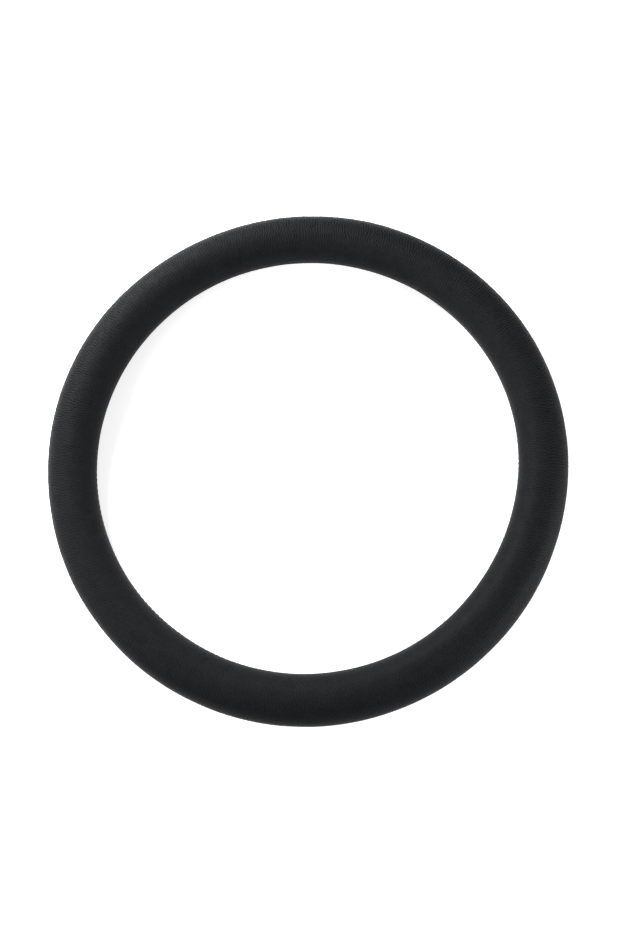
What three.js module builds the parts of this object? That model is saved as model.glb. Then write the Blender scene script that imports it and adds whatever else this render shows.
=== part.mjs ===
// A slip-on cover for a car's steering wheel, lying on its back with the face that the driver sees upwards.
// It is a moulded rubber ring with a C-shaped section, dressed in one smooth leather skin. The skin is turned
// round both lips of the C, hemmed inside the channel and sewn through all the layers along each lip.
// The slot between the lips runs round the back of the tube: the rim of the wheel goes in there.
// Millimetres, +Z up. The origin is the centre of the ring, on the surface that the cover lies on.

import * as THREE from "three";

// The ring
const outerDiameter = 380; // across the whole cover
const tubeDiameter = 35.4; // across the tube, leather included

// The layers
const leatherThickness = 1.2;
const rubberThickness = 2.5;
const glueGap = 0.3; // the film between leather and rubber

// The slot that opens the tube. Section angles start at the side away from the ring's centre and turn towards
// the front, so 90 degrees is the front of the tube, 180 faces the ring's centre and 270 is the back.
const slotAngle = THREE.MathUtils.degToRad(238);
const slotWidth = 14; // clear, from lip to lip

// The hems and their seams
const hemLength = 7; // of the turned edge inside the channel
const stitchInset = 2.5; // on the face, from where the skin starts to turn in to the seam
const threadDiameter = 0.6;
const threadClearance = 0.15; // from a thread to the groove that it has pulled into the leather
const threadSink = 0.15; // how far a thread's centre line lies below the face of the leather

// The grip ribs that the rubber has inside the channel, between the hems
const ribCount = 7;
const ribWidth = 2.2;
const ribHeight = 0.8;
const ribMargin = 2; // from the end of a hem to the first rib

// How far the cover's own weight presses the soft tube flat where it lies
const pressDepth = 0.3;

// Steps round the ring and along curves
const ringSegments = 64;
const arcStep = THREE.MathUtils.degToRad(20);
const lipStep = THREE.MathUtils.degToRad(36);
const threadSides = 6;

// Radii from the centre of the tube, from the outside in
const leatherFace = tubeDiameter / 2;
const leatherBack = leatherFace - leatherThickness;
const rubberFace = leatherBack - glueGap;
const rubberBore = rubberFace - rubberThickness;
const hemBack = rubberBore - glueGap;
const hemFace = hemBack - leatherThickness;

// Radii round the centre of a lip, which lies in the middle of the rubber
const lipCentreRadius = (rubberFace + rubberBore) / 2;
const rubberLip = rubberThickness / 2;
const leatherTurnBack = rubberLip + glueGap;
const leatherTurnFace = leatherTurnBack + leatherThickness;

// Section angles of the lips and the hem ends. The rubber runs from the rear lip up to the front one.
const lipSpread = Math.asin((slotWidth / 2 + leatherTurnFace) / lipCentreRadius);
const frontLip = slotAngle - lipSpread;
const rearLip = slotAngle + lipSpread - 2 * Math.PI;
const hemSweep = hemLength / hemBack;
const frontHemEnd = frontLip - hemSweep;
const rearHemEnd = rearLip + hemSweep;

// Section angles of the seams, and the groove that a thread lies in
const frontSeam = frontLip - stitchInset / leatherFace;
const rearSeam = rearLip + stitchInset / leatherFace;
const grooveDepth = threadSink + (threadDiameter / 2 + threadClearance) * Math.SQRT2;

const centreRadius = (outerDiameter - tubeDiameter) / 2;

// The angles from one to another, both included, in even steps no longer than the one given.
function sweep(from, to, step) {
  const count = Math.max(1, Math.ceil(Math.abs(to - from) / step));
  return Array.from({ length: count + 1 }, (_, i) => from + ((to - from) * i) / count);
}

// A point of the section, x away from the ring's centre and y towards the front.
function polar(radius, angle, centre = new THREE.Vector2()) {
  return new THREE.Vector2(Math.cos(angle), Math.sin(angle)).multiplyScalar(radius).add(centre);
}

// The angles that every layer bends at, from the rear lip to the front lip, so that the gaps stay even. The
// sides and the front of the tube are among them, so that the ring has its full size there.
const layerStops = [rearLip, rearHemEnd, 0, Math.PI / 2, frontHemEnd, frontLip].sort((a, b) => a - b);
const layerSteps = layerStops.slice(1).flatMap((stop, i) => sweep(layerStops[i], stop, arcStep).slice(1));
const layerAngles = [rearLip, ...layerSteps];

// One layer's arc round the centre of the tube. It has a V-shaped groove at each seam given: `inwards` is 1
// where the groove is cut towards the centre of the tube, and -1 where it is cut away from it.
function layerArc(radius, from, to, seams = [], inwards = 1) {
  const halfGroove = grooveDepth / radius;
  const low = Math.min(from, to) - 1e-6;
  const high = Math.max(from, to) + 1e-6;
  const bends = layerAngles
    .filter((angle) => angle > low && angle < high)
    .filter((angle) => seams.every((seam) => Math.abs(angle - seam) > halfGroove))
    .map((angle) => ({ angle, radius }));
  const grooves = seams.flatMap((seam) => [
    { angle: seam - halfGroove, radius },
    { angle: seam, radius: radius - inwards * grooveDepth },
    { angle: seam + halfGroove, radius },
  ]);
  const points = [...bends, ...grooves]
    .sort((a, b) => a.angle - b.angle)
    .map((point) => polar(point.radius, point.angle));
  return from < to ? points : points.reverse();
}

// The half turn round a lip, from the outside of the tube to the inside. `side` is 1 at the front lip and -1
// at the rear one. The ends are left out, because the arcs that it joins have them.
function lipTurn(radius, lip, side) {
  const centre = polar(lipCentreRadius, lip);
  const angles = sweep(lip, lip + side * Math.PI, lipStep).slice(1, -1);
  return angles.map((angle) => polar(radius, angle, centre));
}

// The leather's section, anticlockwise: round the face of the tube, round the front lip, along the front hem
// and back on the side that is glued to the rubber, and so on to the rear hem and round the rear lip.
function skinOutline() {
  return [
    ...layerArc(leatherFace, rearLip, frontLip, [rearSeam, frontSeam], 1),
    ...lipTurn(leatherTurnFace, frontLip, 1),
    ...layerArc(hemFace, frontLip, frontHemEnd, [frontSeam], -1),
    ...layerArc(hemBack, frontHemEnd, frontLip),
    ...lipTurn(leatherTurnBack, frontLip, 1).reverse(),
    ...layerArc(leatherBack, frontLip, rearLip),
    ...lipTurn(leatherTurnBack, rearLip, -1),
    ...layerArc(hemBack, rearLip, rearHemEnd),
    ...layerArc(hemFace, rearHemEnd, rearLip, [rearSeam], -1),
    ...lipTurn(leatherTurnFace, rearLip, -1).reverse(),
  ];
}

// The rubber's bore between the hems, with its ribs, from the front to the rear.
function ribbedBore() {
  const halfRib = ribWidth / rubberBore / 2;
  const inset = ribMargin / rubberBore + halfRib;
  const first = frontHemEnd - inset;
  const last = rearHemEnd + inset;
  return sweep(first, last, (first - last) / (ribCount - 1)).flatMap((angle) => [
    polar(rubberBore, angle + halfRib),
    polar(rubberBore - ribHeight, angle),
    polar(rubberBore, angle - halfRib),
  ]);
}

// The rubber's section, anticlockwise: round the outside, round the front lip, along the bore and round the
// rear lip.
function rubberOutline() {
  return [
    ...layerArc(rubberFace, rearLip, frontLip),
    ...lipTurn(rubberLip, frontLip, 1),
    ...layerArc(rubberBore, frontLip, frontHemEnd),
    ...ribbedBore(),
    ...layerArc(rubberBore, rearHemEnd, rearLip),
    ...lipTurn(rubberLip, rearLip, -1).reverse(),
  ];
}

// The section of a thread that lies in the groove at that radius and seam.
function threadOutline(radius, seam, inwards) {
  const centre = polar(radius - inwards * threadSink, seam);
  const turns = sweep(0, 2 * Math.PI, (2 * Math.PI) / threadSides).slice(1);
  return turns.map((turn) => polar(threadDiameter / 2, turn, centre));
}

// Cuts off what lies below a height, so that the outline gets a straight foot.
function pressFlat(outline, height) {
  return outline.flatMap((point, i) => {
    const next = outline[(i + 1) % outline.length];
    const kept = point.y >= height ? [point] : [];
    if (point.y >= height !== next.y >= height) {
      kept.push(point.clone().lerp(next, (height - point.y) / (next.y - point.y)));
    }
    return kept;
  });
}

// Turns an outline of the section once round the ring's axis.
function ring(name, outline, material) {
  const profile = outline.map((point) => new THREE.Vector2(centreRadius + point.x, point.y));
  const geometry = new THREE.LatheGeometry([...profile, profile[0]], ringSegments);
  geometry.rotateX(Math.PI / 2);
  const mesh = new THREE.Mesh(geometry, material);
  mesh.name = name;
  return mesh;
}

const leather = new THREE.MeshStandardMaterial({ color: 0x1d1e20, roughness: 0.55, metalness: 0 });
const rubber = new THREE.MeshStandardMaterial({ color: 0x121212, roughness: 0.85, metalness: 0 });
const thread = new THREE.MeshStandardMaterial({ color: 0x161617, roughness: 0.7, metalness: 0 });

const skin = skinOutline();
const footHeight = Math.min(...skin.map((point) => point.y)) + pressDepth;

const cover = new THREE.Group();
cover.add(
  ring("leather_skin", pressFlat(skin, footHeight), leather),
  ring("rubber_ring", rubberOutline(), rubber),
  ring("front_needle_thread", threadOutline(leatherFace, frontSeam, 1), thread),
  ring("front_bobbin_thread", threadOutline(hemFace, frontSeam, -1), thread),
  ring("rear_needle_thread", threadOutline(leatherFace, rearSeam, 1), thread),
  ring("rear_bobbin_thread", threadOutline(hemFace, rearSeam, -1), thread),
);
cover.position.z = -footHeight;

export default cover;
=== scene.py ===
"""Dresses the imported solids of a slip-on steering wheel cover. Metres, +Z up, in the solids' frame.

The solids are plain rings. Here the skin gets its creases, its slack and the dimples of its
stitches, the rubber its grip bars and each thread its stitches. The section is given as in the
solids: x runs away from the ring's centre and y towards the front, both from the centre of the
tube, and section angles turn from x towards y.
"""

import math
from typing import NamedTuple

import bpy
import numpy as np
from mathutils import Matrix, Vector, noise


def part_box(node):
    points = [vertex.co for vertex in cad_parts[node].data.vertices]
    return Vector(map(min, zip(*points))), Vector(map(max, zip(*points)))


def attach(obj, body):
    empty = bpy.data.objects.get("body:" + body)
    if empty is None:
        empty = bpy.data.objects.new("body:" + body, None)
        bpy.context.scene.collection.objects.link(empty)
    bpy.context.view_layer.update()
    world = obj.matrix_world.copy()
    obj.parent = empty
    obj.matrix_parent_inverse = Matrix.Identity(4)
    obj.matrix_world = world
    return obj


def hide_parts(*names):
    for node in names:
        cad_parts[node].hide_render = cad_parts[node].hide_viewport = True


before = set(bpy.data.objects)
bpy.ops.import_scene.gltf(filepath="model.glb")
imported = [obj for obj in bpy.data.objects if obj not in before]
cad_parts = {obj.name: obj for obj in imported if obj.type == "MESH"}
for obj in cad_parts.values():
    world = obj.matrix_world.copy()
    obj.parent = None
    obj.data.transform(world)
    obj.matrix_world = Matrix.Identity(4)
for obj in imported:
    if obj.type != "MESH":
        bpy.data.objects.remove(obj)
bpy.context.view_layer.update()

# The section, as in the solids
TUBE_RADIUS = 0.0177
LEATHER = 0.0012
GLUE = 0.0003
RUBBER = 0.0025
SLOT_ANGLE = math.radians(238)
SLOT_WIDTH = 0.014
HEM_LENGTH = 0.007
STITCH_INSET = 0.0025
THREAD_RADIUS = 0.0003
THREAD_SINK = 0.00015
RIB_COUNT = 7
RIB_WIDTH = 0.0022
RIB_HEIGHT = 0.0008
RIB_MARGIN = 0.002

# The ring, from the solids
SKIN_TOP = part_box("leather_skin")[1]
RING_RADIUS = SKIN_TOP.x - TUBE_RADIUS
TUBE_HEIGHT = SKIN_TOP.z - TUBE_RADIUS

# Radii from the centre of the tube, and round the centre of a lip
LEATHER_BACK = TUBE_RADIUS - LEATHER
RUBBER_FACE = LEATHER_BACK - GLUE
RUBBER_BORE = RUBBER_FACE - RUBBER
HEM_BACK = RUBBER_BORE - GLUE
HEM_FACE = HEM_BACK - LEATHER
LIP_CENTRE = (RUBBER_FACE + RUBBER_BORE) / 2
RUBBER_LIP = RUBBER / 2
TURN_BACK = RUBBER_LIP + GLUE
TURN_FACE = TURN_BACK + LEATHER

# Section angles
LIP_SPREAD = math.asin((SLOT_WIDTH / 2 + TURN_FACE) / LIP_CENTRE)
FRONT_LIP = SLOT_ANGLE - LIP_SPREAD
REAR_LIP = SLOT_ANGLE + LIP_SPREAD - 2 * math.pi
FRONT_HEM_END = FRONT_LIP - HEM_LENGTH / HEM_BACK
REAR_HEM_END = REAR_LIP + HEM_LENGTH / HEM_BACK
FRONT_SEAM = FRONT_LIP - STITCH_INSET / TUBE_RADIUS
REAR_SEAM = REAR_LIP + STITCH_INSET / TUBE_RADIUS

# Stitches in each seam, and how they pull the leather in
STITCHES = 240
SEAM_DIP = 0.00045
HOLE_DIP = 0.0004
SEAM_REACH = 0.00045
HOLE_REACH = 0.0006

# A stitch's own shape. Widths are shares of a stitch's length, from the hole.
THREAD_DIP = 0.0009  # into the hole
THREAD_DIP_WIDTH = 0.1
THREAD_SLANT = 0.00015  # across the seam, from hole to hole
THREAD_PINCH = 0.25  # of its radius, at the hole
THREAD_PINCH_WIDTH = 0.2

# Columns of points round the ring
SKIN_COLUMNS = 6 * STITCHES
GLUED_COLUMNS = SKIN_COLUMNS // 4
THREAD_COLUMNS = 12 * STITCHES
GRIP_BARS = 160

# Rows of points round the section
FACE_ROWS = 24  # of the skin, between its seams
LAYER_ROWS = 18  # of the back of the skin and the face of the rubber
HEM_ROWS = 3
SKIN_LIP_ROWS = 3
RUBBER_LIP_ROWS = 4
THREAD_ROWS = 8
SEAM_ROWS = np.array([-1.8, -0.9, 0, 0.9, 1.8]) * SEAM_REACH  # from the seam
SEAM_MARGIN = 3 * SEAM_REACH  # from a seam to the next row on the face
HEM_SEAM_MARGIN = 2.5 * SEAM_REACH  # the same on a hem

# The profile of a grip bar: across it, from its middle in half widths, and along it, in equal steps
BAR_PROFILE = np.array([(-1, 0), (-0.7, 0.9), (0, 1), (0.7, 0.9), (1, 0)])
BAR_LENGTHWISE = np.array([0.0, 0.9, 1.0, 0.9])

# How the skin's own map lays it out for baking: strips of the unrolled ring, the glued side
# narrower than it is
MAP_STRIPS = 4
MAP_MARGIN = 0.024  # of a strip's width
GLUED_SHARE = 0.25

# Where the skin is wrinkled most, round the ring and round the section, and how much it is
# elsewhere
WRINKLED_TURN = math.radians(95)
WRINKLED_SPREAD = math.radians(115)
WRINKLED_SIDE = math.radians(40)
WRINKLED_FALLOFF = 1.6
LEAST_WRINKLED = 0.13

# Creases that are deep enough to be shape, and the slack of the skin
CREASE_PITCH = 0.0038
CREASE_LENGTH = 0.010
CREASE_DEPTH = 0.00014
CREASE_NARROWNESS = 4
CREASE_BEND = 0.004
CREASE_BEND_SIZE = 0.02
LUMP_SIZE = 0.014
LUMP_HEIGHT = 0.00007
SLACK_SIZE = 0.055
SLACK_HEIGHT = 0.00022

TOLERANCE = 1e-6  # between lengths that count as equal


class Swell(NamedTuple):
    """A stretch where the tube is thicker or thinner than a true ring, on its outer or inner
    side."""

    turn: float  # round the ring, in degrees from +X
    outer: bool
    height: float
    spread: float  # in degrees


SWELLS = (
    Swell(turn=152, outer=True, height=0.0013, spread=16),
    Swell(turn=120, outer=True, height=-0.0004, spread=10),
    Swell(turn=50, outer=True, height=0.0003, spread=20),
    Swell(turn=270, outer=True, height=0.0005, spread=18),
    Swell(turn=338, outer=True, height=-0.0004, spread=12),
    Swell(turn=18, outer=False, height=-0.0007, spread=18),
    Swell(turn=80, outer=False, height=0.0003, spread=20),
    Swell(turn=234, outer=False, height=0.0005, spread=14),
    Swell(turn=328, outer=False, height=0.0008, spread=16),
)


class Rows(NamedTuple):
    """Lines of points that run round the ring: their places in the section and the surface's
    normals there."""

    place: np.ndarray
    normal: np.ndarray


def arc(radius, angles, facing=1, centre=(0.0, 0.0)):
    """Rows along an arc of the section. `facing` is -1 where the surface looks at the arc's
    centre."""
    direction = np.stack([np.cos(angles), np.sin(angles)], axis=-1)
    return Rows(np.array(centre) + radius * direction, facing * direction)


def joined(*parts):
    """Several stretches of rows as one."""
    places, normals = zip(*parts)
    return Rows(np.concatenate(places), np.concatenate(normals))


def backwards(rows):
    return Rows(rows.place[::-1], rows.normal[::-1])


def lip_turn(radius, lip, side, count):
    """The half turn round a lip, outside to inside, without its ends. `side` is 1 at the front lip
    and -1 at the rear one."""
    angles = np.linspace(lip, lip + side * math.pi, count + 2)[1:-1]
    centre = (LIP_CENTRE * math.cos(lip), LIP_CENTRE * math.sin(lip))
    return arc(radius, angles, 1, centre)


class Stretch(NamedTuple):
    """Evenly spaced rows from one section angle towards another, and the seam that follows, if
    any."""

    start: float
    end: float
    count: int
    seam: float | None = None


def with_seams(radius, *stretches):
    """Section angles of an arc with close rows at its seams."""
    angles = []
    for start, end, count, seam in stretches:
        angles.extend(np.linspace(start, end, count, endpoint=False))
        if seam is not None:
            angles.extend(np.sort(seam + SEAM_ROWS / radius)[:: 1 if end > start else -1])
    return np.array([*angles, stretches[-1].end])


def turns(columns):
    """The angles round the ring of a row's points."""
    return np.arange(columns) * (2 * math.pi / columns)


def section_angles(rows):
    """The rows' angles round the centre of the tube, as a column."""
    return np.arctan2(rows.place[:, 1], rows.place[:, 0])[:, None]


def section_radii(rows):
    """The rows' distances from the centre of the tube, as a column."""
    return np.linalg.norm(rows.place, axis=1)[:, None]


def angle_between(a, b):
    return (a - b + math.pi) % (2 * math.pi) - math.pi


def bell(away, width):
    """1 at no distance, falling smoothly to nothing beyond about twice the width."""
    return np.exp(-((away / width) ** 2))


def swelling(section_angle, turn):
    """How far the tube's wall stands out of a true ring there."""
    height = 0
    for swell in SWELLS:
        away = angle_between(turn, math.radians(swell.turn))
        near = bell(away, math.sqrt(2) * math.radians(swell.spread))
        side = np.cos(section_angle - (0 if swell.outer else math.pi)).clip(0) ** 2
        height = height + swell.height * near * side
    return height


def around_ring(x, y, turn):
    """Points in space from their place in the section and their angle round the ring."""
    out = RING_RADIUS + x
    return np.stack([out * np.cos(turn), out * np.sin(turn), y + TUBE_HEIGHT], axis=-1)


def placed(rows, columns, relief=0):
    """The points of the rows round the ring, raised along their normals and swollen as the whole
    tube is. None lies below the floor."""
    turn = turns(columns)[None, :]
    angle = section_angles(rows)
    swell = swelling(angle, turn)
    x = rows.place[:, :1] + relief * rows.normal[:, :1] + swell * np.cos(angle)
    y = rows.place[:, 1:] + relief * rows.normal[:, 1:] + swell * np.sin(angle)
    return around_ring(x, np.maximum(y, -TUBE_HEIGHT), turn)


def unrolled(rows, columns):
    """Coordinates in which a pattern follows the tube: a circle round the ring, and the way round
    the section."""
    turn = turns(columns)[None, :]
    steps = np.linalg.norm(np.diff(rows.place, axis=0), axis=1)
    way = np.concatenate([[0], np.cumsum(steps)])[:, None]
    x, y = RING_RADIUS * np.cos(turn), RING_RADIUS * np.sin(turn)
    return np.stack(np.broadcast_arrays(x, y, way), axis=-1)


def noise_at(points):
    """Smooth noise from about -1 to 1."""
    flat = points.reshape(-1, 3).tolist()
    return np.array([noise.noise(p) for p in flat]).reshape(points.shape[:-1])


def quads(numbers):
    """The faces between rows of vertex numbers that run round the ring."""
    a, b = numbers[:-1], numbers[1:]
    faces = np.stack([a, np.roll(a, -1, 1), np.roll(b, -1, 1), b], axis=-1)
    return faces.reshape(-1, 4).tolist()


def fans(fine, coarse, coarse_first):
    """The triangles between a fine row of vertex numbers and a coarse one next to it.
    `coarse_first` is for a coarse row that comes before the fine one."""
    share = len(fine) // len(coarse)
    middle = share // 2
    faces = []
    for j, here in enumerate(coarse):
        after = coarse[(j + 1) % len(coarse)]
        run = [fine[(j * share + i) % len(fine)] for i in range(share + 1)]
        faces.append([run[middle], after, here])
        faces.extend([run[i], run[i + 1], here if i < middle else after] for i in range(share))
    return [face[::-1] for face in faces] if coarse_first else faces


def closed_quads(rows, columns):
    """The faces of a closed tube of that many rows and columns."""
    numbers = np.arange(rows * columns).reshape(rows, columns)
    return quads(np.concatenate([numbers, numbers[:1]]))


def new_piece(name, points, faces, material, slot, *nodes):
    """A smooth mesh object that rides on the cover's one body and stands for those solids."""
    mesh = bpy.data.meshes.new(name)
    mesh.from_pydata(points.reshape(-1, 3).tolist(), [], faces)
    mesh.shade_smooth()
    mesh.materials.append(material)
    piece = bpy.data.objects.new(name, mesh)
    bpy.context.scene.collection.objects.link(piece)
    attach(piece, "root")
    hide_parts(*nodes)
    return piece


def skin_rows():
    """The rows of the skin that show, from the end of the rear hem round the tube to the front
    hem's."""
    margin, hem_margin = SEAM_MARGIN / TUBE_RADIUS, HEM_SEAM_MARGIN / HEM_FACE
    face = with_seams(
        TUBE_RADIUS,
        Stretch(REAR_LIP, REAR_SEAM - margin, 1, REAR_SEAM),
        Stretch(REAR_SEAM + margin, FRONT_SEAM - margin, FACE_ROWS, FRONT_SEAM),
        Stretch(FRONT_SEAM + margin, FRONT_LIP, 1),
    )
    rear_hem = with_seams(
        HEM_FACE,
        Stretch(REAR_HEM_END, REAR_SEAM + hem_margin, 2, REAR_SEAM),
        Stretch(REAR_SEAM - hem_margin, REAR_LIP, 1),
    )
    front_hem = with_seams(
        HEM_FACE,
        Stretch(FRONT_LIP, FRONT_SEAM + hem_margin, 1, FRONT_SEAM),
        Stretch(FRONT_SEAM - hem_margin, FRONT_HEM_END, 2),
    )
    return joined(
        arc(HEM_FACE, rear_hem, -1),
        backwards(lip_turn(TURN_FACE, REAR_LIP, -1, SKIN_LIP_ROWS)),
        arc(TUBE_RADIUS, face),
        lip_turn(TURN_FACE, FRONT_LIP, 1, SKIN_LIP_ROWS),
        arc(HEM_FACE, front_hem, -1),
    )


def glued_rows():
    """The rows on the side of the skin that is glued to the rubber, from the end of the front hem
    to the rear hem's."""
    return joined(
        arc(HEM_BACK, np.linspace(FRONT_HEM_END, FRONT_LIP, HEM_ROWS)),
        backwards(lip_turn(TURN_BACK, FRONT_LIP, 1, SKIN_LIP_ROWS)),
        arc(LEATHER_BACK, np.linspace(FRONT_LIP, REAR_LIP, LAYER_ROWS), -1),
        lip_turn(TURN_BACK, REAR_LIP, -1, SKIN_LIP_ROWS),
        arc(HEM_BACK, np.linspace(REAR_LIP, REAR_HEM_END, HEM_ROWS)),
    )


def stitch_pull(rows, turn):
    """How far the seams pull the skin in: a furrow along each seam, deeper where the thread goes
    through."""
    from_hole = angle_between(turn * STITCHES, 0) / STITCHES * RING_RADIUS
    depth = SEAM_DIP + HOLE_DIP * bell(from_hole, HOLE_REACH)
    pull = 0
    for seam in (FRONT_SEAM, REAR_SEAM):
        away = angle_between(section_angles(rows), seam) * section_radii(rows)
        pull = pull + depth * bell(away, SEAM_REACH)
    return pull


def wrinkling(rows):
    """How wrinkled the skin is, up to 1: most on the outer half of the ring's upper side."""
    turn = turns(SKIN_COLUMNS)[None, :]
    upper = bell(angle_between(turn, WRINKLED_TURN), WRINKLED_SPREAD)
    outer = (0.5 + 0.5 * np.cos(section_angles(rows) - WRINKLED_SIDE)) ** WRINKLED_FALLOFF
    return LEAST_WRINKLED + (1 - LEAST_WRINKLED) * upper * outer


def skin_relief(rows, grain):
    """How far the skin stands out of its plain section: slack and lumps, less creases and seams."""
    turn = turns(SKIN_COLUMNS)[None, :]
    bent = grain + CREASE_BEND * noise_at(grain / CREASE_BEND_SIZE)[..., None]
    crease_size = np.array([CREASE_PITCH, CREASE_PITCH, CREASE_LENGTH])
    ridge = 1 - (np.abs(noise_at(bent / crease_size)) * CREASE_NARROWNESS).clip(0, 1)
    creases = CREASE_DEPTH * ridge * wrinkling(rows)
    lumps = LUMP_HEIGHT * noise_at(grain / LUMP_SIZE) + SLACK_HEIGHT * noise_at(grain / SLACK_SIZE)
    on_face = section_radii(rows) > TUBE_RADIUS - TOLERANCE
    return (lumps - creases) * on_face - stitch_pull(rows, turn)


def lay_out(mesh, around, across):
    """Gives the mesh a map of strips. `around` and `across` are each point's share of the way round
    the ring and round its section."""
    corner = np.empty(len(mesh.loops), dtype=int)
    mesh.loops.foreach_get("vertex_index", corner)
    sides = np.empty(len(mesh.polygons), dtype=int)
    mesh.polygons.foreach_get("loop_total", sides)
    first = np.cumsum(sides) - sides

    def unwound(share):
        """Each corner's share, with the corners of a face kept together, and the face's middle."""
        base = np.repeat(share[corner[first]], sides)
        near = base + (share[corner] - base + 0.5) % 1 - 0.5
        middle = np.add.reduceat(near, first) / sides
        return near - np.repeat(np.floor(middle), sides), middle % 1

    u, middle = unwound(around)
    v, _ = unwound(across)
    strip = np.repeat(np.floor(middle * MAP_STRIPS), sides)
    height = (strip + MAP_MARGIN + (1 - 2 * MAP_MARGIN) * v) / MAP_STRIPS
    places = np.stack([u * MAP_STRIPS - strip, height], axis=-1)
    mesh.uv_layers.new(name="OFBake").data.foreach_set("uv", places.astype(np.float32).ravel())


def add_attribute(mesh, name, kind, field, values):
    """Keeps a value for each point, for the material to read."""
    attribute = mesh.attributes.new(name, kind, "POINT")
    attribute.data.foreach_set(field, values.astype(np.float32).ravel())


def make_skin(material):
    """The leather skin, as one closed surface with fewer columns on the side that is glued."""
    shown, glued = skin_rows(), glued_rows()
    grain, back_grain = unrolled(shown, SKIN_COLUMNS), unrolled(glued, GLUED_COLUMNS)
    front = placed(shown, SKIN_COLUMNS, skin_relief(shown, grain))
    back = placed(glued, GLUED_COLUMNS)

    fine = np.arange(front.shape[0] * SKIN_COLUMNS).reshape(front.shape[:2])
    coarse = fine.size + np.arange(back.shape[0] * GLUED_COLUMNS).reshape(back.shape[:2])
    faces = quads(fine) + quads(coarse)
    faces += fans(fine[-1].tolist(), coarse[0].tolist(), False)
    faces += fans(fine[0].tolist(), coarse[-1].tolist(), True)
    points = np.concatenate([front.reshape(-1, 3), back.reshape(-1, 3)])
    mesh = new_piece("skin", points, faces, material, "leather", "leather_skin").data

    front_way, back_way = grain[..., 2].ravel(), GLUED_SHARE * back_grain[..., 2].ravel()
    across = np.concatenate([front_way, front_way[-1] + LEATHER + back_way])
    turn = np.concatenate(
        [np.tile(turns(SKIN_COLUMNS), len(front)), np.tile(turns(GLUED_COLUMNS), len(back))]
    )
    lay_out(mesh, turn / (2 * math.pi), across / (across[-1] + LEATHER))

    whole_grain = np.concatenate([grain.reshape(-1, 3), back_grain.reshape(-1, 3)])
    add_attribute(mesh, "grain", "FLOAT_VECTOR", "vector", whole_grain)
    wrinkled = np.concatenate([wrinkling(shown).ravel(), np.full(coarse.size, LEAST_WRINKLED)])
    add_attribute(mesh, "wrinkling", "FLOAT", "value", wrinkled)


def bore_rows():
    """The rows of the rubber's bore between the hems, and how far the grip bars stand out on
    each."""
    half = RIB_WIDTH / 2
    inset = (RIB_MARGIN + half) / RUBBER_BORE
    ribs = np.linspace(FRONT_HEM_END - inset, REAR_HEM_END + inset, RIB_COUNT)
    angles = (ribs[:, None] - half * BAR_PROFILE[None, :, 0] / RUBBER_BORE).ravel()
    return arc(RUBBER_BORE, angles, -1), np.tile(RIB_HEIGHT * BAR_PROFILE[:, 1], RIB_COUNT)


def make_rubber(material):
    """The rubber ring, whose bore has rows of short grip bars."""
    bore, bar_height = bore_rows()
    before = joined(
        arc(RUBBER_FACE, np.linspace(REAR_LIP, FRONT_LIP, LAYER_ROWS)),
        lip_turn(RUBBER_LIP, FRONT_LIP, 1, RUBBER_LIP_ROWS),
        arc(RUBBER_BORE, np.linspace(FRONT_LIP, FRONT_HEM_END, HEM_ROWS), -1),
    )
    after = joined(
        arc(RUBBER_BORE, np.linspace(REAR_HEM_END, REAR_LIP, HEM_ROWS), -1),
        backwards(lip_turn(RUBBER_LIP, REAR_LIP, -1, RUBBER_LIP_ROWS)),
    )
    rows = joined(before, bore, after)
    height = np.concatenate([np.zeros(len(before.place)), bar_height, np.zeros(len(after.place))])
    relief = height[:, None] * np.tile(BAR_LENGTHWISE, GRIP_BARS)[None, :]
    columns = relief.shape[1]
    faces = closed_quads(len(rows.place), columns)
    new_piece("rubber", placed(rows, columns, relief), faces, material, "rubber", "rubber_ring")


def make_thread(name, radius, seam, outwards, material, node):
    """One thread of a seam: it lies on the leather between the holes and dips into each hole."""
    turn = turns(THREAD_COLUMNS)[None, :]
    from_hole = (turn * STITCHES / (2 * math.pi) + 0.5) % 1 - 0.5
    dip = THREAD_DIP * bell(from_hole, THREAD_DIP_WIDTH)
    slant = THREAD_SLANT * (from_hole - 0.5 * np.sign(from_hole))
    thickness = THREAD_RADIUS * (1 - THREAD_PINCH * bell(from_hole, THREAD_PINCH_WIDTH))
    level = radius - outwards * (THREAD_SINK + dip) + swelling(seam, turn)
    angle = seam + slant / radius
    around = -np.linspace(0, 2 * math.pi, THREAD_ROWS, endpoint=False)[::-1, None]
    x = level * np.cos(angle) + thickness * np.cos(around)
    y = level * np.sin(angle) + thickness * np.sin(around)
    faces = closed_quads(THREAD_ROWS, THREAD_COLUMNS)
    new_piece(name, around_ring(x, y, turn), faces, material, "thread", node)


def add_node(tree, kind, inputs=None, **settings):
    """A shader node. An input is a number, a colour or the socket that feeds it."""
    made = tree.nodes.new(kind)
    for key, value in settings.items():
        setattr(made, key, value)
    for key, value in (inputs or {}).items():
        if isinstance(value, bpy.types.NodeSocket):
            tree.links.new(value, made.inputs[key])
        else:
            made.inputs[key].default_value = value
    return made


def new_material(name):
    """A material with a bare Principled shader: (material, its tree, the shader)."""
    material = bpy.data.materials.new(name)
    material.use_nodes = True
    tree = material.node_tree
    return material, tree, tree.nodes["Principled BSDF"]


def remap(tree, value, source, target):
    """A value moved from one range to another, and kept inside it."""
    inputs = {"Value": value}
    inputs["From Min"], inputs["From Max"] = source
    inputs["To Min"], inputs["To Max"] = target
    return add_node(tree, "ShaderNodeMapRange", inputs).outputs["Result"]


def math_node(tree, operation, *values):
    return add_node(tree, "ShaderNodeMath", dict(enumerate(values)), operation=operation).outputs[0]


def noise_node(tree, vector, scale, detail):
    inputs = {"Vector": vector, "Scale": scale, "Detail": detail}
    return add_node(tree, "ShaderNodeTexNoise", inputs).outputs["Fac"]


def object_place(tree):
    return add_node(tree, "ShaderNodeTexCoord").outputs["Object"]


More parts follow.
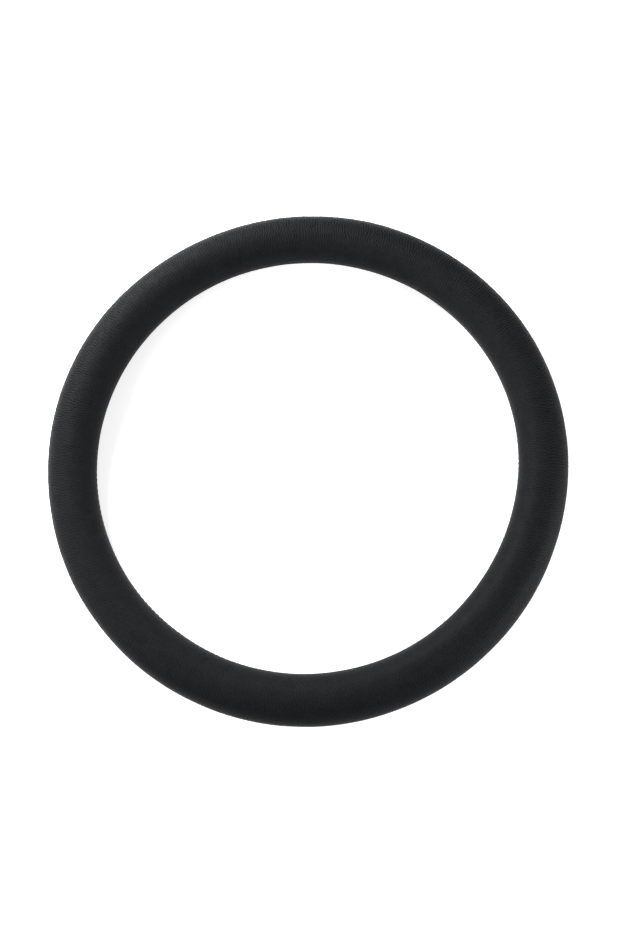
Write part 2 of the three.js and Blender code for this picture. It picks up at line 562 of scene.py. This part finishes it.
def colour_between(tree, shader, share, dark, pale):
    """Colours the surface from one colour to another."""
    inputs = {"Factor": share, "A": dark, "B": pale}
    mix = add_node(tree, "ShaderNodeMix", inputs, data_type="RGBA")
    tree.links.new(mix.outputs["Result"], shader.inputs["Base Color"])


def add_bump(tree, shader, height, strength=1.0, distance=1.0):
    """Raises the surface's look by `height` times `distance`."""
    inputs = {"Height": height, "Strength": strength, "Distance": distance}
    bump = add_node(tree, "ShaderNodeBump", inputs)
    tree.links.new(bump.outputs["Normal"], shader.inputs["Normal"])


def grey(level):
    return (level, level, level, 1)


# Ranges of values in the materials
FULL = (0, 1)
CENTRED = (-0.5, 0.5)
NOISE_RANGE = (0.3, 0.7)  # which holds most values of a noise texture

# The leather. Its colour has a random tone, and painted shade in the hollows of its wrinkles and
# pebbles and painted light on their tops
LEATHER_DARK = (0.0020, 0.0023, 0.0027, 1)
LEATHER_PALE = (0.0186, 0.0190, 0.0203, 1)
LEATHER_GLOSS = 0.02
LEATHER_ROUGHNESS = (0.47, 0.39)  # between the wrinkles and on them
WRINKLE_HEIGHT = 0.00020
WRINKLE_PITCH = 0.00175  # round the ring, from one wrinkle to the next
WRINKLE_LENGTH = 0.0038
WRINKLE_ALIGNMENT = 0.75  # 1 where they all run straight across the tube
WAVE_RANGE = (0.38, 0.62)  # which holds most values of the wrinkles' texture
WAVE_POWER = 0.7  # below 1, so that wrinkles are plump and the valleys between them narrow
WAVE_MEAN = 0.57
PEBBLE_SIZE = 0.0008
PEBBLE_HEIGHT = 0.00009
PEBBLE_SOFTNESS = 0.35
PEBBLE_RANGE = (0.15, 0.7)  # of the distances in the pebbles' texture, from middle to rim
# how much darker the leather is painted between the pebbles, as painted shade, and paler on them, as
# painted light
PEBBLE_PAINTED_SHADE = 0.25
PATCH_SCALE = 120
PATCH_PALENESS = (0.44, 0.56)


def leather_wrinkles(tree, grain):
    """Fine wrinkles across the tube, centred on 0, as strong as the skin is wrinkled there."""
    x, y, way = add_node(tree, "ShaderNodeSeparateXYZ", {"Vector": grain}).outputs
    around = math_node(tree, "MULTIPLY", math_node(tree, "ARCTAN2", y, x), RING_RADIUS)
    flat = add_node(tree, "ShaderNodeCombineXYZ", {"X": around, "Y": way}).outputs["Vector"]
    inputs = {
        "Vector": flat,
        "Scale": 1 / WRINKLE_LENGTH,
        "Frequency": WRINKLE_LENGTH / WRINKLE_PITCH,
        "Anisotropy": WRINKLE_ALIGNMENT,
        "Orientation": 0.0,
    }
    waves = add_node(tree, "ShaderNodeTexGabor", inputs).outputs["Value"]
    plump = math_node(tree, "POWER", remap(tree, waves, WAVE_RANGE, FULL), WAVE_POWER)
    centred = math_node(tree, "SUBTRACT", plump, WAVE_MEAN)
    strength = add_node(tree, "ShaderNodeAttribute", attribute_name="wrinkling").outputs["Fac"]
    return math_node(tree, "MULTIPLY", centred, strength)


def leather_pebbles(tree, grain):
    """A pebble grain, from 0.5 on the pebbles to -0.5 between them."""
    inputs = {"Vector": grain, "Scale": 1 / PEBBLE_SIZE, "Smoothness": PEBBLE_SOFTNESS}
    cells = add_node(tree, "ShaderNodeTexVoronoi", inputs, feature="SMOOTH_F1")
    return remap(tree, cells.outputs["Distance"], PEBBLE_RANGE, CENTRED[::-1])


def leather_material():
    """Matte black microfibre leather: fine wrinkles across the tube, and a pebble grain, with painted
    shade in their hollows and painted light on their tops.
    """
    material, tree, shader = new_material("black_leather")
    grain = add_node(tree, "ShaderNodeAttribute", attribute_name="grain").outputs["Vector"]
    wrinkle, pebble = leather_wrinkles(tree, grain), leather_pebbles(tree, grain)

    high = math_node(tree, "MULTIPLY", wrinkle, WRINKLE_HEIGHT)
    add_bump(tree, shader, math_node(tree, "MULTIPLY_ADD", pebble, PEBBLE_HEIGHT, high))

    patches = noise_node(tree, grain, PATCH_SCALE, detail=2)
    patches = remap(tree, patches, NOISE_RANGE, PATCH_PALENESS)
    # The wrinkles and pebbles colour the skin too: darker in their hollows as painted shade, paler on
    # their tops as painted light. The patches are the leather's own random tone.
    paleness_and_painted_shade = math_node(tree, "ADD", patches, wrinkle)
    paleness_and_painted_shade = math_node(tree, "MULTIPLY_ADD", pebble, PEBBLE_PAINTED_SHADE, paleness_and_painted_shade)
    colour_between(tree, shader, paleness_and_painted_shade, LEATHER_DARK, LEATHER_PALE)

    roughness = remap(tree, wrinkle, CENTRED, LEATHER_ROUGHNESS)
    tree.links.new(roughness, shader.inputs["Roughness"])
    shader.inputs["Specular IOR Level"].default_value = LEATHER_GLOSS
    return material


# The rubber
RUBBER_DARK = grey(0.008)
RUBBER_BLOOM = grey(0.015)
RUBBER_GLOSS = 0.35
RUBBER_ROUGHNESS = (0.7, 0.85)
BLOOM_SCALE = 70
BLOOM_RANGE = (0.35, 0.7)  # of the noise, from bare rubber to full bloom
RUBBER_GRAIN_SCALE = 2500
RUBBER_GRAIN_STRENGTH = 0.4
RUBBER_GRAIN_HEIGHT = 0.00005


def rubber_material():
    """Dull black moulded rubber with a faint bloom."""
    material, tree, shader = new_material("black_rubber")
    place = object_place(tree)
    bloom = noise_node(tree, place, BLOOM_SCALE, detail=4)
    colour_between(tree, shader, remap(tree, bloom, BLOOM_RANGE, FULL), RUBBER_DARK, RUBBER_BLOOM)
    roughness = remap(tree, bloom, NOISE_RANGE, RUBBER_ROUGHNESS)
    tree.links.new(roughness, shader.inputs["Roughness"])
    fine = noise_node(tree, place, RUBBER_GRAIN_SCALE, detail=2)
    add_bump(tree, shader, fine, RUBBER_GRAIN_STRENGTH, RUBBER_GRAIN_HEIGHT)
    shader.inputs["Specular IOR Level"].default_value = RUBBER_GLOSS
    return material


# The thread
THREAD_DARK = (0.009, 0.009, 0.01, 1)
THREAD_PALE = (0.022, 0.022, 0.024, 1)
THREAD_ROUGHNESS = 0.5
PLY_SCALE = 900
PLY_WAVER = 1
PLY_STRENGTH = 0.5
PLY_HEIGHT = 0.00008


def thread_material():
    """Black bonded thread, whose plies show as fine slanting lines, with painted shade between them
    and painted light on them.
    """
    material, tree, shader = new_material("black_thread")
    inputs = {"Vector": object_place(tree), "Scale": PLY_SCALE, "Distortion": PLY_WAVER}
    waves = add_node(tree, "ShaderNodeTexWave", inputs, bands_direction="DIAGONAL")
    plies = waves.outputs["Fac"]
    # The plies colour the thread too: darker between them as painted shade, paler on them as painted
    # light
    colour_between(tree, shader, plies, THREAD_DARK, THREAD_PALE)
    add_bump(tree, shader, plies, PLY_STRENGTH, PLY_HEIGHT)
    shader.inputs["Roughness"].default_value = THREAD_ROUGHNESS
    return material


# The camera, from a fit of a ring to both outlines in the photo. Lengths are in radii of the tube's
# centre line.
CAMERA_TILT = math.radians(13.168)  # off the ring's axis
CAMERA_TURN = math.radians(16.399)  # round the axis, from the lower side towards the right
CAMERA_AWAY = 4.0932
CAMERA_SHIFT = (0.02645, -0.03371)  # to the right and up
FOCAL_PIXELS = 964.02
PHOTO_HEIGHT = 931
SENSOR_MM = 36


def place_at(turn, elevation, away):
    """The place that far from the origin, at that angle round the ring from +X and that angle over
    the floor."""
    level = away * math.cos(elevation)
    return Vector((level * math.cos(turn), level * math.sin(turn), away * math.sin(elevation)))


def make_camera():
    """The camera at the photo's place. It looks along a line beside the ring's centre, so there is
    no lens shift."""
    back = place_at(CAMERA_TURN - math.pi / 2, math.pi / 2 - CAMERA_TILT, 1)
    right = Vector((0, 1, 0)).cross(back).normalized()
    up = back.cross(right)
    across, along = CAMERA_SHIFT
    away = CAMERA_AWAY * back + across * right + along * up
    place = Vector((0, 0, TUBE_HEIGHT)) + RING_RADIUS * away
    camera = bpy.data.objects.new("camera", bpy.data.cameras.new("camera"))
    camera.data.sensor_width = SENSOR_MM
    camera.data.lens = FOCAL_PIXELS / PHOTO_HEIGHT * SENSOR_MM
    turned = Matrix((right, up, back)).transposed().to_4x4()
    camera.matrix_world = Matrix.Translation(place) @ turned
    bpy.context.scene.collection.objects.link(camera)
    bpy.context.scene.camera = camera


class Softbox(NamedTuple):
    """A rectangular light that faces the cover from one side. Lengths are in metres, angles in
    degrees."""

    name: str
    turn: float  # round the ring, from +X
    elevation: float
    away: float
    width: float
    height: float
    power: float  # in watts


SOFTBOXES = (
    Softbox(name="key", turn=129, elevation=33, away=0.76, width=0.26, height=0.36, power=12.2),
    Softbox(name="left", turn=200, elevation=31, away=0.75, width=0.5, height=0.5, power=3.8),
    Softbox(name="right", turn=338, elevation=15, away=0.72, width=0.5, height=0.34, power=5.3),
)


def make_softbox(softbox):
    turn, elevation = math.radians(softbox.turn), math.radians(softbox.elevation)
    place = place_at(turn, elevation, softbox.away)
    light = bpy.data.lights.new(softbox.name, "AREA")
    light.shape = "RECTANGLE"
    light.size, light.size_y = softbox.width, softbox.height
    light.energy = softbox.power
    lamp = bpy.data.objects.new(softbox.name, light)
    lamp.location = place
    lamp.rotation_euler = (Vector((0, 0, TUBE_HEIGHT)) - place).to_track_quat("-Z", "Y").to_euler()
    bpy.context.scene.collection.objects.link(lamp)


WORLD_LIGHT = 0.24  # the strength of the surround as a light; where it shows it is 1, white
FLOOR_HALF = 4
FLOOR_HEIGHT = -0.0002  # a hair below the foot of the cover, so that the two don't share a plane
FLOOR_COLOUR = 0.85
FLOOR_ROUGHNESS = 0.9

# What the floor gains where it shows: near the cover, so that only its shadows are darker than
# white, and far from the lamps, so that it ends in the white of the surround
FLOOR_LIFT = (0.69, 1 - FLOOR_COLOUR * WORLD_LIGHT)
FLOOR_LIFT_RADII = (0.35, 1.2)


def shown_background(tree):
    """1 for the rays that see the background itself or its reflection."""
    path = add_node(tree, "ShaderNodeLightPath").outputs
    seen = math_node(tree, "MAXIMUM", path["Is Camera Ray"], path["Is Glossy Ray"])
    return math_node(tree, "MAXIMUM", seen, path["Is Transmission Ray"])


def make_world():
    """A white surround that lights the cover softly."""
    world = bpy.data.worlds.new("studio")
    bpy.context.scene.world = world
    world.use_nodes = True
    tree = world.node_tree
    strength = remap(tree, shown_background(tree), FULL, (WORLD_LIGHT, 1))
    tree.nodes["Background"].inputs["Color"].default_value = grey(1)
    tree.links.new(strength, tree.nodes["Background"].inputs["Strength"])


def make_floor():
    """A white floor that shows white in the light and keeps the cover's soft shadow."""
    material, tree, shader = new_material("white_floor")
    shader.inputs["Base Color"].default_value = grey(FLOOR_COLOUR)
    shader.inputs["Roughness"].default_value = FLOOR_ROUGHNESS
    shader.inputs["Specular IOR Level"].default_value = 0
    shader.inputs["Emission Color"].default_value = grey(1)
    length = add_node(tree, "ShaderNodeVectorMath", {0: object_place(tree)}, operation="LENGTH")
    lift = remap(tree, length.outputs["Value"], FLOOR_LIFT_RADII, FLOOR_LIFT)
    shown_lift = math_node(tree, "MULTIPLY", shown_background(tree), lift)
    tree.links.new(shown_lift, shader.inputs["Emission Strength"])

    mesh = bpy.data.meshes.new("floor")
    corners = [(x * FLOOR_HALF, y * FLOOR_HALF) for x, y in ((-1, -1), (1, -1), (1, 1), (-1, 1))]
    mesh.from_pydata([(x, y, FLOOR_HEIGHT) for x, y in corners], [], [(0, 1, 2, 3)])
    mesh.materials.append(material)
    floor = bpy.data.objects.new("floor", mesh)
    bpy.context.scene.collection.objects.link(floor)


make_camera()
make_world()
make_floor()
for box in SOFTBOXES:
    make_softbox(box)

thread = thread_material()
make_skin(leather_material())
make_rubber(rubber_material())
make_thread("front_needle_stitches", TUBE_RADIUS, FRONT_SEAM, 1, thread, "front_needle_thread")
make_thread("front_bobbin_stitches", HEM_FACE, FRONT_SEAM, -1, thread, "front_bobbin_thread")
make_thread("rear_needle_stitches", TUBE_RADIUS, REAR_SEAM, 1, thread, "rear_needle_thread")
make_thread("rear_bobbin_stitches", HEM_FACE, REAR_SEAM, -1, thread, "rear_bobbin_thread")

bpy.context.scene.view_settings.view_transform = "Standard"
